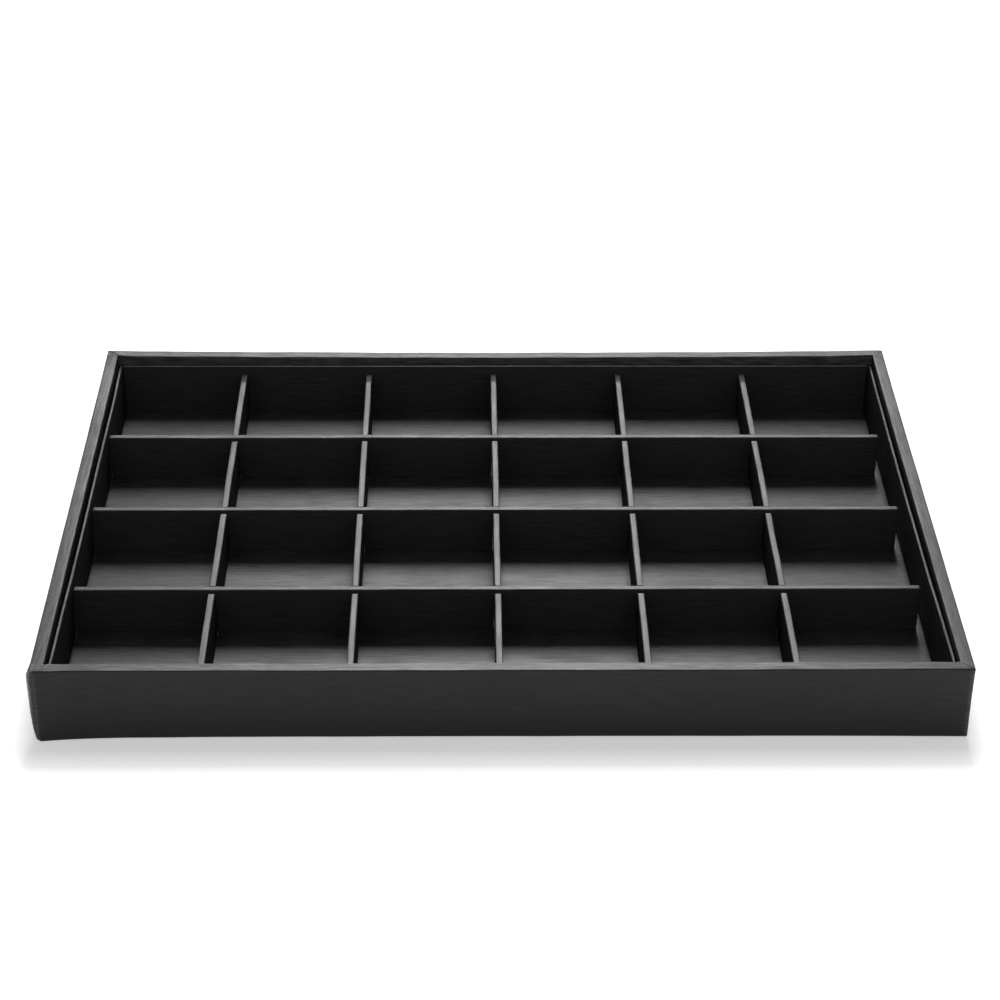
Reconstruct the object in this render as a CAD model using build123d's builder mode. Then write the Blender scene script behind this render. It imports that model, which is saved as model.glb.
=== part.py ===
from build123d import *
import os

# Jewellery display tray with a lift-out grid of crossing dividers.
# A fibreboard frame is wrapped in leatherette, and a covered floor card and four thin
# covered liner strips stand inside it. Card dividers, also covered, cross each other in
# halving slots and stand loose on the floor.
# Sizes are in millimetres. The origin is the middle of the underside, X runs left to
# right, Y from front to back and Z up.

# Whole tray
tray_length = 350.0
tray_depth = 240.0
tray_height = 31.0

# Frame rails and the leatherette that is wrapped round them
rail_thickness = 4.0
cover_thickness = 0.5
cover_corner_radius = 2.0
rim_fold_radius = 0.8
turn_under = 12.0
mitre_cut = 0.3
mitre_margin = 1.5

# Base board and the paper on the underside
base_thickness = 2.5
paper_thickness = 0.3
paper_inset = 4.0
paper_corner_radius = 2.0

# Floor card inside the frame
floor_card_thickness = 0.9
floor_play = 0.2

# Thin leatherette of the floor, the liner and the dividers
lining_thickness = 0.3
fold_radius = 0.5

# Liner strips along the four walls
liner_card_thickness = 0.5
liner_gap = 1.0
liner_drop = 3.6
liner_corner_clip = 1.0
liner_turnover = 9.0

# Dividers
columns = 6
rows = 4
divider_card_thickness = 2.0
divider_corner_clip = 0.8
long_drop = 6.5
cross_drop = 7.0
long_end_play = 1.7
cross_end_play = 0.6
slot_play = 0.15
slot_end_play = 0.3
long_slot_lead = 0.2
cross_slot_lead = 0.6
grid_shift = -1.2

# Levels, from the underside upwards
cover_bottom = paper_thickness
rail_bottom = cover_bottom + cover_thickness
rail_top = tray_height - cover_thickness
base_top = rail_bottom + base_thickness
card_top = base_top + floor_card_thickness
floor_top = card_top + lining_thickness
liner_top = tray_height - liner_drop

# A card's clipped corner is smaller than its covering's by this, so that the covering is
# as thick there as elsewhere
clip_step = lining_thickness * (2 - 2**0.5)

# The well is the space between the wrapped rails
wall_thickness = rail_thickness + 2 * cover_thickness
well_length = tray_length - 2 * wall_thickness
well_depth = tray_depth - 2 * wall_thickness
board_length = well_length + 2 * cover_thickness
board_depth = well_depth + 2 * cover_thickness

# The room is the space between the liner strips
liner_thickness = liner_card_thickness + 2 * lining_thickness
liner_length = well_length - 2 * liner_gap
liner_depth = well_depth - 2 * liner_gap
room_length = liner_length - 2 * liner_thickness
room_depth = liner_depth - 2 * liner_thickness

# Dividers: sizes over the covering, and where they cross
divider_thickness = divider_card_thickness + 2 * lining_thickness
long_length = room_length - 2 * long_end_play
cross_length = room_depth - 2 * cross_end_play
long_height = tray_height - long_drop - floor_top
cross_height = tray_height - cross_drop - floor_top
column_pitch = room_length / columns
row_pitch = (room_depth + divider_thickness) / rows
cross_places = [column_pitch * (n - columns / 2) for n in range(1, columns)]
long_places = [row_pitch * (n - rows / 2) for n in range(1, rows)]
slot_width = divider_thickness + 2 * slot_play
slot_depth = (cross_height + slot_end_play) / 2


def side_plane(base):
    """The upright plane through a strip's length: X along the strip, Y up."""
    return Plane(origin=base.origin, x_dir=base.x_dir, z_dir=-base.y_dir)


def card_strip(base, length, height, thickness, corner_clip):
    """A strip of card that stands on its long edge, with its upper corners clipped."""
    with BuildPart() as strip:
        with BuildSketch(side_plane(base)) as outline:
            Rectangle(length, height, align=(Align.CENTER, Align.MIN))
            chamfer(outline.vertices().group_by(Axis.Y)[-1], length=corner_clip)
        extrude(amount=thickness / 2, both=True)
    return strip.part


def covered_strip(base, length, height, thickness, corner_clip):
    """The outside of a covered strip: the covering folds round along the top, over the
    clipped corners and down the ends."""
    with BuildPart() as strip:
        add(card_strip(base, length, height, thickness, corner_clip))
        outline = strip.faces().filter_by(side_plane(base)).edges()
        fillet(outline - outline.group_by(Axis.Z)[0], radius=fold_radius)
    return strip.part


def slot_blocks(base, places, mouth_height, direction, lead):
    """The material to take out of a strip: at each place a halving slot that runs up or
    down from its mouth. A lead bevels the corners of the mouth."""
    half = slot_width / 2
    with BuildSketch() as slot:
        with BuildLine():
            Polyline(
                (-half - lead, 0),
                (-half, direction * lead),
                (-half, direction * slot_depth),
                (half, direction * slot_depth),
                (half, direction * lead),
                (half + lead, 0),
                close=True,
            )
        make_face()
    with BuildPart() as blocks:
        with BuildSketch(side_plane(base)):
            with Locations(*[(place, mouth_height) for place in places]):
                add(slot.sketch)
        extrude(amount=divider_thickness, both=True)
    return blocks.part


os.makedirs("parts", exist_ok=True)

# Frame rails: one ring, mitred into four
with BuildPart() as rail_ring:
    with BuildSketch(Plane.XY.offset(rail_bottom)):
        RectangleRounded(
            tray_length - 2 * cover_thickness,
            tray_depth - 2 * cover_thickness,
            cover_corner_radius - cover_thickness,
        )
    extrude(amount=rail_top - rail_bottom)
    with BuildSketch(Plane.XY.offset(rail_bottom)):
        Rectangle(board_length, board_depth)
    extrude(amount=rail_top - rail_bottom, mode=Mode.SUBTRACT)

# Each rail lies on the near side of its plane, turned to that side of the tray
rail_sides = {
    "front": (0, tray_length, tray_depth),
    "right": (90, tray_depth, tray_length),
    "back": (180, tray_length, tray_depth),
    "left": (270, tray_depth, tray_length),
}
for side, (turn, span, reach) in rail_sides.items():
    mitre_depth = 2 * wall_thickness
    with BuildPart() as rail:
        add(rail_ring.part)
        with BuildSketch(Plane.XY.offset(rail_bottom).rotated((0, 0, turn))):
            with BuildLine():
                Polyline(
                    (-span / 2, -reach / 2),
                    (span / 2, -reach / 2),
                    (span / 2 - mitre_depth, -reach / 2 + mitre_depth),
                    (-span / 2 + mitre_depth, -reach / 2 + mitre_depth),
                    close=True,
                )
            make_face()
        extrude(amount=rail_top - rail_bottom, mode=Mode.INTERSECT)
    rail.part.label = f"rail_{side}"
    export_step(rail.part, f"parts/rail_{side}.step")

# Base board between the rails
with BuildPart() as base_board:
    with BuildSketch(Plane.XY.offset(rail_bottom)):
        Rectangle(board_length, board_depth)
    extrude(amount=base_thickness)
base_board.part.label = "base_board"
export_step(base_board.part, "parts/base_board.step")

# Frame cover: a skin that goes up the outside, over the rim, down the inside and
# under the base, where it stops in a border as wide as its turn-under
with BuildPart() as frame_cover:
    with BuildSketch(Plane.XY.offset(cover_bottom)):
        RectangleRounded(tray_length, tray_depth, cover_corner_radius)
    extrude(amount=tray_height - cover_bottom)
    fillet(frame_cover.faces().sort_by(Axis.Z)[-1].edges(), radius=rim_fold_radius)
    chamfer(frame_cover.faces().sort_by(Axis.Z)[0].edges(), length=cover_thickness / 2)
    with BuildSketch(Plane.XY.offset(base_top)):
        Rectangle(well_length, well_depth)
    extrude(amount=tray_height - base_top, mode=Mode.SUBTRACT)
    rim_edges = frame_cover.faces().sort_by(Axis.Z)[-1].inner_wires()[0].edges()
    fillet(rim_edges, radius=rim_fold_radius)
    add(rail_ring.part, mode=Mode.SUBTRACT)
    with BuildSketch(Plane.XY.offset(rail_bottom)):
        Rectangle(board_length, board_depth)
    extrude(amount=base_thickness, mode=Mode.SUBTRACT)
    with BuildSketch(Plane.XY.offset(cover_bottom)):
        Rectangle(tray_length - 2 * turn_under, tray_depth - 2 * turn_under)
    extrude(amount=cover_thickness, mode=Mode.SUBTRACT)
    # Mitred cuts at the corners of the rim, and of the border under the base
    for side_x in (-1, 1):
        for side_y in (-1, 1):
            rim_corner = Plane(
                origin=(side_x * tray_length / 2, side_y * tray_depth / 2, base_top),
                x_dir=(-side_x, -side_y, 0),
                z_dir=(0, 0, 1),
            )
            with BuildSketch(rim_corner):
                with Locations((mitre_margin, 0)):
                    Rectangle(2 * wall_thickness, mitre_cut, align=(Align.MIN, Align.CENTER))
            extrude(amount=tray_height - base_top, mode=Mode.SUBTRACT)
            with BuildSketch(rim_corner.offset(cover_bottom - base_top)):
                with Locations((mitre_margin, 0)):
                    Rectangle(2 * turn_under, mitre_cut, align=(Align.MIN, Align.CENTER))
            extrude(amount=cover_thickness, mode=Mode.SUBTRACT)
frame_cover.part.label = "frame_cover"
export_step(frame_cover.part, "parts/frame_cover.step")

# Paper glued over the turned-under border
with BuildPart() as underside_paper:
    with BuildSketch():
        RectangleRounded(
            tray_length - 2 * paper_inset, tray_depth - 2 * paper_inset, paper_corner_radius
        )
    extrude(amount=paper_thickness)
underside_paper.part.label = "underside_paper"
export_step(underside_paper.part, "parts/underside_paper.step")

# Floor card, and the lining that covers its top and edges
floor_length = room_length - floor_play
floor_depth = room_depth - floor_play
with BuildPart() as floor_card:
    with BuildSketch(Plane.XY.offset(base_top)):
        Rectangle(floor_length - 2 * lining_thickness, floor_depth - 2 * lining_thickness)
    extrude(amount=floor_card_thickness)
floor_card.part.label = "floor_card"
export_step(floor_card.part, "parts/floor_card.step")

with BuildPart() as floor_lining:
    with BuildSketch(Plane.XY.offset(base_top)):
        Rectangle(floor_length, floor_depth)
    extrude(amount=floor_top - base_top)
    fillet(floor_lining.faces().sort_by(Axis.Z)[-1].edges(), radius=lining_thickness)
    add(floor_card.part, mode=Mode.SUBTRACT)
floor_lining.part.label = "floor_lining"
export_step(floor_lining.part, "parts/floor_lining.step")

# Liner strips. The side strips run the full depth and the other two fit between them.
# The covering goes over the face, the fold and a short way down the back.
liner_height = liner_top - base_top
liner_sides = {
    "front": (Plane((0, -(liner_depth - liner_thickness) / 2, base_top), x_dir=(-1, 0, 0)), room_length),
    "back": (Plane((0, (liner_depth - liner_thickness) / 2, base_top), x_dir=(1, 0, 0)), room_length),
    "left": (Plane((-(liner_length - liner_thickness) / 2, 0, base_top), x_dir=(0, 1, 0)), liner_depth),
    "right": (Plane(((liner_length - liner_thickness) / 2, 0, base_top), x_dir=(0, -1, 0)), liner_depth),
}
for side, (base, length) in liner_sides.items():
    covered = covered_strip(base, length, liner_height, liner_thickness, liner_corner_clip)
    with BuildPart() as liner_card:
        add(
            card_strip(
                base,
                length - 2 * lining_thickness,
                liner_height - lining_thickness,
                liner_card_thickness,
                liner_corner_clip - clip_step,
            )
        )
    liner_card.part.label = f"liner_card_{side}"
    export_step(liner_card.part, f"parts/liner_card_{side}.step")

    with BuildPart() as liner_cover:
        add(covered)
        add(liner_card.part, mode=Mode.SUBTRACT)
        with BuildSketch(side_plane(base).offset(-liner_card_thickness / 2)):
            Rectangle(length, liner_height - liner_turnover, align=(Align.CENTER, Align.MIN))
        extrude(amount=-lining_thickness, mode=Mode.SUBTRACT)
    liner_cover.part.label = f"liner_cover_{side}"
    export_step(liner_cover.part, f"parts/liner_cover_{side}.step")

# Long dividers, with slots that are open at the bottom
for row, place in zip(("front", "middle", "back"), long_places):
    base = Plane((grid_shift, place, floor_top))
    slots = slot_blocks(base, cross_places, 0, 1, long_slot_lead)
    covered = covered_strip(
        base, long_length, long_height, divider_thickness, divider_corner_clip
    )
    card = card_strip(
        base,
        long_length - 2 * lining_thickness,
        long_height - lining_thickness,
        divider_card_thickness,
        divider_corner_clip - clip_step,
    )
    with BuildPart() as long_card:
        add(card)
        add(slots, mode=Mode.SUBTRACT)
    long_card.part.label = f"long_divider_card_{row}"
    export_step(long_card.part, f"parts/long_divider_card_{row}.step")

    with BuildPart() as long_cover:
        add(covered)
        add(card, mode=Mode.SUBTRACT)
        add(slots, mode=Mode.SUBTRACT)
    long_cover.part.label = f"long_divider_cover_{row}"
    export_step(long_cover.part, f"parts/long_divider_cover_{row}.step")

# Cross dividers, with slots that are open at the top
for number, place in enumerate(cross_places, start=1):
    base = Plane((grid_shift + place, 0, floor_top), x_dir=(0, 1, 0))
    slots = slot_blocks(base, long_places, cross_height, -1, cross_slot_lead)
    covered = covered_strip(
        base, cross_length, cross_height, divider_thickness, divider_corner_clip
    )
    card = card_strip(
        base,
        cross_length - 2 * lining_thickness,
        cross_height - lining_thickness,
        divider_card_thickness,
        divider_corner_clip - clip_step,
    )
    with BuildPart() as cross_card:
        add(card)
        add(slots, mode=Mode.SUBTRACT)
    cross_card.part.label = f"cross_divider_card_{number}"
    export_step(cross_card.part, f"parts/cross_divider_card_{number}.step")

    with BuildPart() as cross_cover:
        add(covered)
        add(card, mode=Mode.SUBTRACT)
        add(slots, mode=Mode.SUBTRACT)
    cross_cover.part.label = f"cross_divider_cover_{number}"
    export_step(cross_cover.part, f"parts/cross_divider_cover_{number}.step")
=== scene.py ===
import math

import bpy
import numpy as np
from mathutils import Matrix, Vector


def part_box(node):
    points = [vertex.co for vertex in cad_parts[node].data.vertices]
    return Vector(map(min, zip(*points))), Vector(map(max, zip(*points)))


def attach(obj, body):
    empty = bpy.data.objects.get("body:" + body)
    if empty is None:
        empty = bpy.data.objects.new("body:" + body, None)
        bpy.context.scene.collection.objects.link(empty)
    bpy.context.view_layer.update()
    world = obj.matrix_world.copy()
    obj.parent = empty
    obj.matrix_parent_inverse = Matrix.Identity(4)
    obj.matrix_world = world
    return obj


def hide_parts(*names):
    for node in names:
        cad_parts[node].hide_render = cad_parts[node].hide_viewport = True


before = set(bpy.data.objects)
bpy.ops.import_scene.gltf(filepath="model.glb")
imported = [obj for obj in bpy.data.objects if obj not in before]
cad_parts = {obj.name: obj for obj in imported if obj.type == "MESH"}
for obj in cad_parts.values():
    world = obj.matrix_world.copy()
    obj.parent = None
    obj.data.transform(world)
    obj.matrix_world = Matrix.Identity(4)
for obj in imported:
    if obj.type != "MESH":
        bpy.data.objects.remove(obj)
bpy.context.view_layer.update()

# Rails and base board.
# Strips of medium-density fibreboard stand round a thin board of the same stuff, mitred and
# glued at the corners. The wrap hides them, so only a slit or a torn wrap would show them.

mm = 0.001
# A pair of colours, here and below: that of a pattern's dark parts and that of its light ones
FIBREBOARD = ((0.20, 0.125, 0.068, 1), (0.40, 0.28, 0.17, 1))
# Chips and clumps of them, each a noise with its scale, detail, stretch and weight
FIBREBOARD_NOISES = ((1500, 4.0, (1, 1, 2.5), 0.7), (160, 2.0, (1, 1, 1), 0.3))
# Most of a noise lies between these values
NOISE_SPAN = (0.3, 0.7)


def new_material(name, roughness, specular):
    """An empty node material: its Principled shader has one roughness and one specular level."""
    material = bpy.data.materials.new(name)
    material.use_nodes = True
    shader = material.node_tree.nodes["Principled BSDF"]
    shader.inputs["Roughness"].default_value = roughness
    shader.inputs["Specular IOR Level"].default_value = specular
    return material, shader


def noise(material, place, scale, detail, stretch=(1, 1, 1), roughness=0.55):
    """Noise from 0 to 1 on the given coordinates, which stretch multiplies first."""
    tree = material.node_tree
    mapping = tree.nodes.new("ShaderNodeMapping")
    mapping.inputs["Scale"].default_value = stretch
    texture = tree.nodes.new("ShaderNodeTexNoise")
    texture.inputs["Scale"].default_value = scale
    texture.inputs["Detail"].default_value = detail
    texture.inputs["Roughness"].default_value = roughness
    tree.links.new(place, mapping.inputs["Vector"])
    tree.links.new(mapping.outputs["Vector"], texture.inputs["Vector"])
    return texture.outputs["Fac"]


def from_object(material):
    """The place on the piece in metres, the same for every piece of the tray."""
    return material.node_tree.nodes.new("ShaderNodeTexCoord").outputs["Object"]


def ramp(material, value, colours, span=NOISE_SPAN):
    """A colour that goes from the first of a pair to the second while the value crosses the span."""
    tree = material.node_tree
    node = tree.nodes.new("ShaderNodeValToRGB")
    for element, position, colour in zip(node.color_ramp.elements, span, colours):
        element.position = position
        element.color = colour
    tree.links.new(value, node.inputs["Fac"])
    return node.outputs["Color"]


def fit_range(material, value, start, end, low, high):
    """The value from start to end, turned into a number from low to high."""
    tree = material.node_tree
    node = tree.nodes.new("ShaderNodeMapRange")
    for socket, number in zip(("From Min", "From Max", "To Min", "To Max"), (start, end, low, high)):
        node.inputs[socket].default_value = number
    tree.links.new(value, node.inputs["Value"])
    return node.outputs["Result"]


def combine(material, operation, first, second):
    """Two numbers put together by a Math node. Each is a node's output or a plain number."""
    tree = material.node_tree
    node = tree.nodes.new("ShaderNodeMath")
    node.operation = operation
    for socket, value in zip(node.inputs, (first, second)):
        if isinstance(value, (int, float)):
            socket.default_value = value
        else:
            tree.links.new(value, socket)
    return node.outputs["Value"]


def weighted_sum(material, *terms):
    """Some values, each multiplied by its weight, added up. A term is a value and its weight."""
    products = [combine(material, "MULTIPLY", value, weight) for value, weight in terms]
    total = products[0]
    for product in products[1:]:
        total = combine(material, "ADD", total, product)
    return total


def add_bump(material, shader, height, depth):
    """Bumps as high as depth, in metres, where the height goes from 0 to 1."""
    tree = material.node_tree
    node = tree.nodes.new("ShaderNodeBump")
    node.inputs["Strength"].default_value = 1.0
    node.inputs["Distance"].default_value = depth
    tree.links.new(height, node.inputs["Height"])
    tree.links.new(node.outputs["Normal"], shader.inputs["Normal"])


def matt_finish(name, noises, colours, roughness, specular, tooth):
    """A matt material whose colour, roughness and bumps all follow one pattern: the weighted sum
    of some noises. roughness is that of the dark parts and that of the light ones, and tooth is
    the height of the bumps in metres."""
    material, shader = new_material(name, sum(roughness) / 2, specular)
    place = from_object(material)
    layers = ((noise(material, place, *layer), weight) for *layer, weight in noises)
    pattern = weighted_sum(material, *layers)
    link = material.node_tree.links.new
    link(ramp(material, pattern, colours), shader.inputs["Base Color"])
    link(fit_range(material, pattern, *NOISE_SPAN, *roughness), shader.inputs["Roughness"])
    add_bump(material, shader, pattern, tooth)
    return material


def finish_node(node, material):
    """A carried-over CAD node takes a material in each of its material slots."""
    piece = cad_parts[node]
    for place in piece.material_slots:
        place.material = material


fibreboard = matt_finish(
    "fibreboard", FIBREBOARD_NOISES, FIBREBOARD, roughness=(0.9, 0.7), specular=0.3, tooth=0.08 * mm
)
for node in ("rail_front", "rail_right", "rail_back", "rail_left", "base_board"):
    finish_node(node, fibreboard)

# Frame wrap.
# One sheet of brushed black leatherette is glued round the rails: up the outside, over the rim,
# down the inside and under the base. Its folds are soft, and at each corner it is cut and
# folded to a mitre, where the doubled sheet lies in lumps beside a dark crease.

LEATHERETTE = ((0.003, 0.003, 0.0031, 1), (0.009, 0.0089, 0.009, 1))
# The worn colours. On the frame's rim and folds they are also painted sheen, on its corners' standing edges
# a painted highlight, and on the back rail's inner face painted light
LEATHERETTE_WORN_AND_SHEEN = ((0.03, 0.03, 0.0301, 1), (0.125, 0.1247, 0.125, 1))
# The pale backing. On the back liner strip's top it is a painted highlight
BACKING_AND_HIGHLIGHT = ((0.2, 0.2, 0.199, 1), (0.33, 0.329, 0.326, 1))
EMBOSS_HEIGHT = 0.24 * mm
# Where the sheet isn't worn, the emboss has only this share of its height
EMBOSS_PRESSED = 0.45
# Streaks, broad, coarse and fine: each a noise's detail, stretch, roughness and weight
STREAKS = (
    (3.0, (85, 1000, 1), 0.6, 0.55),
    (4.0, (30, 1700, 1), 0.6, 0.3),
    (2.0, (110, 5200, 1), 0.5, 0.15),
)
STREAK_SPAN = (0.4, 0.6)
SHEEN_SPAN = (0.41, 0.59)
PEBBLE_SCALE = 4200
PEBBLE_SHARE = 0.07
CLOUD_SCALE = 45
CLOUD_SHARE = 0.4
POLISH_SMOOTHS = 0.07

WRAP_OUTER_FOLD = 0.55 * mm
WRAP_INNER_FOLD = 0.4 * mm
WRAP_FOOT_FOLD = 0.6 * mm
WRAP_INNER_CORNER = 0.35 * mm
WRAP_USUAL_CORNER = 0.5 * mm
WRAP_CORNER_RADII = {
    "front_right": 0.7 * mm,
    "back_right": 0.8 * mm,
    "back_left": 0.6 * mm,
    "front_left": 0.7 * mm,
}
WRAP_STEP = 3.6 * mm
UNDER_BORDER = 12 * mm
SHARP_ANGLE = 40


def sheet_mesh(name, outside, inside, along, across, wear_and_sheen, kept=None, closed=False, capped=False):
    """A sheet with a real thickness. outside and inside are grids of points on its two sides,
    with rows along the sheet and columns across it. Each kept cell gives a face on both sides,
    and each border of the kept cells gives a face through the thickness. A closed sheet goes
    round and meets its first row. A capped sheet has its first and last row shut by a ladder
    of faces from column to opposite column. along and across are the lengths in metres for the
    UV map. The sixth argument is how used the outside is, and on some pieces painted sheen and
    highlight as well: 0 is new, 1 is smoothed to a gloss, 2 is through to the pale backing."""
    rows, columns = outside.shape[:2]
    if kept is None:
        kept = np.ones((rows if closed else rows - 1, columns - 1), bool)

    def faces(row, column, side):
        """Faces from their corners' rows, columns and sides, one face a row."""
        shape = np.broadcast(*row, *column).shape
        return np.stack([np.broadcast_to(part, shape) for part in (*row, *column, *side)], -1)

    def walls(i, j, di, dj):
        """Faces through the sheet on grid edges from (i, j) to (i + di, j + dj)."""
        zero, one = np.zeros_like(i), np.ones_like(i)
        return faces((i, i + di, i + di, i), (j, j + dj, j + dj, j), (zero, zero, one, one))

    i, j = np.nonzero(kept)
    zero, one = np.zeros_like(i), np.ones_like(i)
    parts = [
        faces((i, i + 1, i + 1, i), (j, j, j + 1, j + 1), (zero,) * 4),
        faces((i, i, i + 1, i + 1), (j, j + 1, j + 1, j), (one,) * 4),
    ]
    none = np.zeros((kept.shape[0], 1), bool)
    before, after = np.hstack([none, kept]), np.hstack([kept, none])
    i, j = np.nonzero(after & ~before)
    parts.append(walls(i + 1, j, -1, 0))
    i, j = np.nonzero(before & ~after)
    parts.append(walls(i, j, 1, 0))
    if closed:
        before, after = np.roll(kept, 1, 0), kept
    else:
        none = np.zeros((1, kept.shape[1]), bool)
        before, after = np.vstack([none, kept]), np.vstack([kept, none])
        if capped:
            before, after = before[1:-1], after[1:-1]
    first = 1 if capped and not closed else 0
    i, j = np.nonzero(after & ~before)
    parts.append(walls(i + first, j, 0, 1))
    i, j = np.nonzero(before & ~after)
    parts.append(walls(i + first, j + 1, 0, -1))
    if capped:
        j = np.arange(columns // 2 - 1)
        other = columns - 1 - j
        zero, one = np.zeros_like(j), np.ones_like(j)
        for row, turn in ((0, 1), (rows - 1, -1)):
            i = np.full_like(j, row)
            ladder = (j, j + 1, other - 1, other)[::turn]
            parts.append(faces((i,) * 4, ladder, (zero,) * 4))
            parts.append(faces((i,) * 4, ladder[::-1], (one,) * 4))
            near, far = (np.array([0]), np.array([columns - 1]))[::turn]
            foot_sides = (zero[:1], zero[:1], one[:1], one[:1])
            parts.append(faces((i[:1],) * 4, (near, far, far, near), foot_sides))
    table = np.concatenate([part.reshape(-1, 12) for part in parts])
    row, column, side = table[:, :4], table[:, 4:8], table[:, 8:]
    corner = side * rows * columns + (row % rows) * columns + column
    points = np.concatenate([outside.reshape(-1, 3), inside.reshape(-1, 3)])
    rubbed_and_sheen = np.concatenate([np.broadcast_to(wear_and_sheen, (rows, columns)).ravel(), np.zeros(rows * columns)])
    used, corner = np.unique(corner, return_inverse=True)
    corner = corner.reshape(-1, 4)
    points, rubbed_and_sheen = points[used], rubbed_and_sheen[used]

    # Turned so that the faces point outwards: then the volume that they enclose is positive
    a, b, c, d = (points[corner[:, k]] for k in range(4))
    volume = np.einsum("ij,ij->i", a, np.cross(b, c)).sum() + np.einsum("ij,ij->i", a, np.cross(c, d)).sum()
    if volume < 0:
        corner, row, column = corner[:, ::-1], row[:, ::-1], column[:, ::-1]

    mesh = bpy.data.meshes.new(name)
    mesh.vertices.add(len(points))
    mesh.vertices.foreach_set("co", points.ravel().astype(np.float32))
    mesh.loops.add(corner.size)
    mesh.loops.foreach_set("vertex_index", corner.ravel().astype(np.int32))
    mesh.polygons.add(len(corner))
    mesh.polygons.foreach_set("loop_start", np.arange(0, corner.size, 4, dtype=np.int32))
    mesh.update(calc_edges=True)
    layer = mesh.uv_layers.new(name="Along")
    places = np.stack([np.asarray(along)[row], np.asarray(across)[column]], -1)
    layer.uv.foreach_set("vector", places.reshape(-1).astype(np.float32))
    attribute = mesh.attributes.new("wear_and_sheen", "FLOAT", "POINT")
    attribute.data.foreach_set("value", rubbed_and_sheen.astype(np.float32))
    mesh.polygons.foreach_set("use_smooth", np.ones(len(corner), bool))
    mesh.set_sharp_from_angle(angle=math.radians(SHARP_ANGLE))
    mesh.validate()
    piece = bpy.data.objects.new(name, mesh)
    bpy.context.scene.collection.objects.link(piece)
    return piece


def waves(distance, lengths, heights, seed):
    """A gentle unevenness: sines of the given lengths and heights with seeded phases, added up."""
    phases = np.random.default_rng(seed).uniform(0, 2 * np.pi, len(lengths))
    total = np.zeros_like(distance, dtype=float)
    for length, height, phase in zip(lengths, heights, phases):
        total = total + height * np.sin(2 * np.pi * distance / length + phase)
    return total


def hump(distance, width):
    """1 at distance 0, and softly down to 0 on both sides: e to the minus (distance / width)^2."""
    return np.exp(-((distance / width) ** 2))


def share_past(value, start, end):
    """0 up to the start, 1 from the end on, and evenly from one to the other between them."""
    return np.clip((value - start) / (end - start), 0, 1)


def arc(centre, radius, start, end, steps):
    """Points on an arc about the centre, from one angle to another, in degrees."""
    angle = np.radians(np.linspace(start, end, steps))
    return np.stack([centre[0] + radius * np.cos(angle), centre[1] + radius * np.sin(angle)], -1)


def brushed_leatherette(name, new, worn, specular, rough, spread, relief=EMBOSS_HEIGHT):
    """Black leatherette with a brushed emboss: long streaks, broad and fine, that follow the UV
    map's first direction, a pebbled micro-grain and a slow unevenness of sheen. How used the
    piece is, from 0 to 1, smooths it and moves it from the new pair of colours to the paler
    pair, which stands for use and for painted sheen, and from 1 to 2 moves it on towards the
    pale backing. Where a piece sets these numbers for it, the paler colours also paint sheen,
    highlight and light. The streaks spread a reflection across themselves, as in brushed metal.
    rough is the roughness of the dull streaks and that of the smoothed ones, and relief is the
    streaks' height in metres."""
    material, shader = new_material(name, rough[1], specular)
    shader.inputs["Anisotropic"].default_value = spread
    shader.inputs["Anisotropic Rotation"].default_value = 0.25
    tree = material.node_tree
    streak_line = tree.nodes.new("ShaderNodeTangent")
    streak_line.direction_type = "UV_MAP"
    streak_line.uv_map = "Along"
    tree.links.new(streak_line.outputs["Tangent"], shader.inputs["Tangent"])
    place = tree.nodes.new("ShaderNodeUVMap")
    place.uv_map = "Along"
    streaks = ((noise(material, place.outputs["UV"], 1.0, *kind), weight) for *kind, weight in STREAKS)
    brushed = weighted_sum(material, *streaks)
    pebbles = noise(material, from_object(material), PEBBLE_SCALE, 2.0)
    clouds = noise(material, from_object(material), CLOUD_SCALE, 3.0)
    wear_and_sheen = tree.nodes.new("ShaderNodeAttribute")
    wear_and_sheen.attribute_name = "wear_and_sheen"
    polish_and_sheen = combine(material, "MINIMUM", wear_and_sheen.outputs["Fac"], 1)
    rubbed_through_and_highlight = combine(material, "MAXIMUM", combine(material, "SUBTRACT", wear_and_sheen.outputs["Fac"], 1), 0)
    colour = ramp(material, brushed, new, STREAK_SPAN)
    # Towards the paler colours, which are real wear and also painted sheen, highlight and light where a
    # piece sets its numbers for that
    for share, under in ((polish_and_sheen, worn), (rubbed_through_and_highlight, BACKING_AND_HIGHLIGHT)):
        mixed = tree.nodes.new("ShaderNodeMix")
        mixed.data_type = "RGBA"
        tree.links.new(share, mixed.inputs["Factor"])
        tree.links.new(colour, mixed.inputs["A"])
        tree.links.new(ramp(material, brushed, under, STREAK_SPAN), mixed.inputs["B"])
        colour = mixed.outputs["Result"]
    tree.links.new(colour, shader.inputs["Base Color"])
    sheen = weighted_sum(material, (brushed, 1 - CLOUD_SHARE), (clouds, CLOUD_SHARE))
    dull = fit_range(material, sheen, *SHEEN_SPAN, *rough)
    dull = combine(material, "SUBTRACT", dull, combine(material, "MULTIPLY", polish_and_sheen, POLISH_SMOOTHS))
    tree.links.new(dull, shader.inputs["Roughness"])
    height = weighted_sum(material, (brushed, 1 - PEBBLE_SHARE), (pebbles, PEBBLE_SHARE))
    pressed = fit_range(material, polish_and_sheen, 0, 1, EMBOSS_PRESSED, 1)
    add_bump(material, shader, combine(material, "MULTIPLY", height, pressed), relief)
    return material


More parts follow.
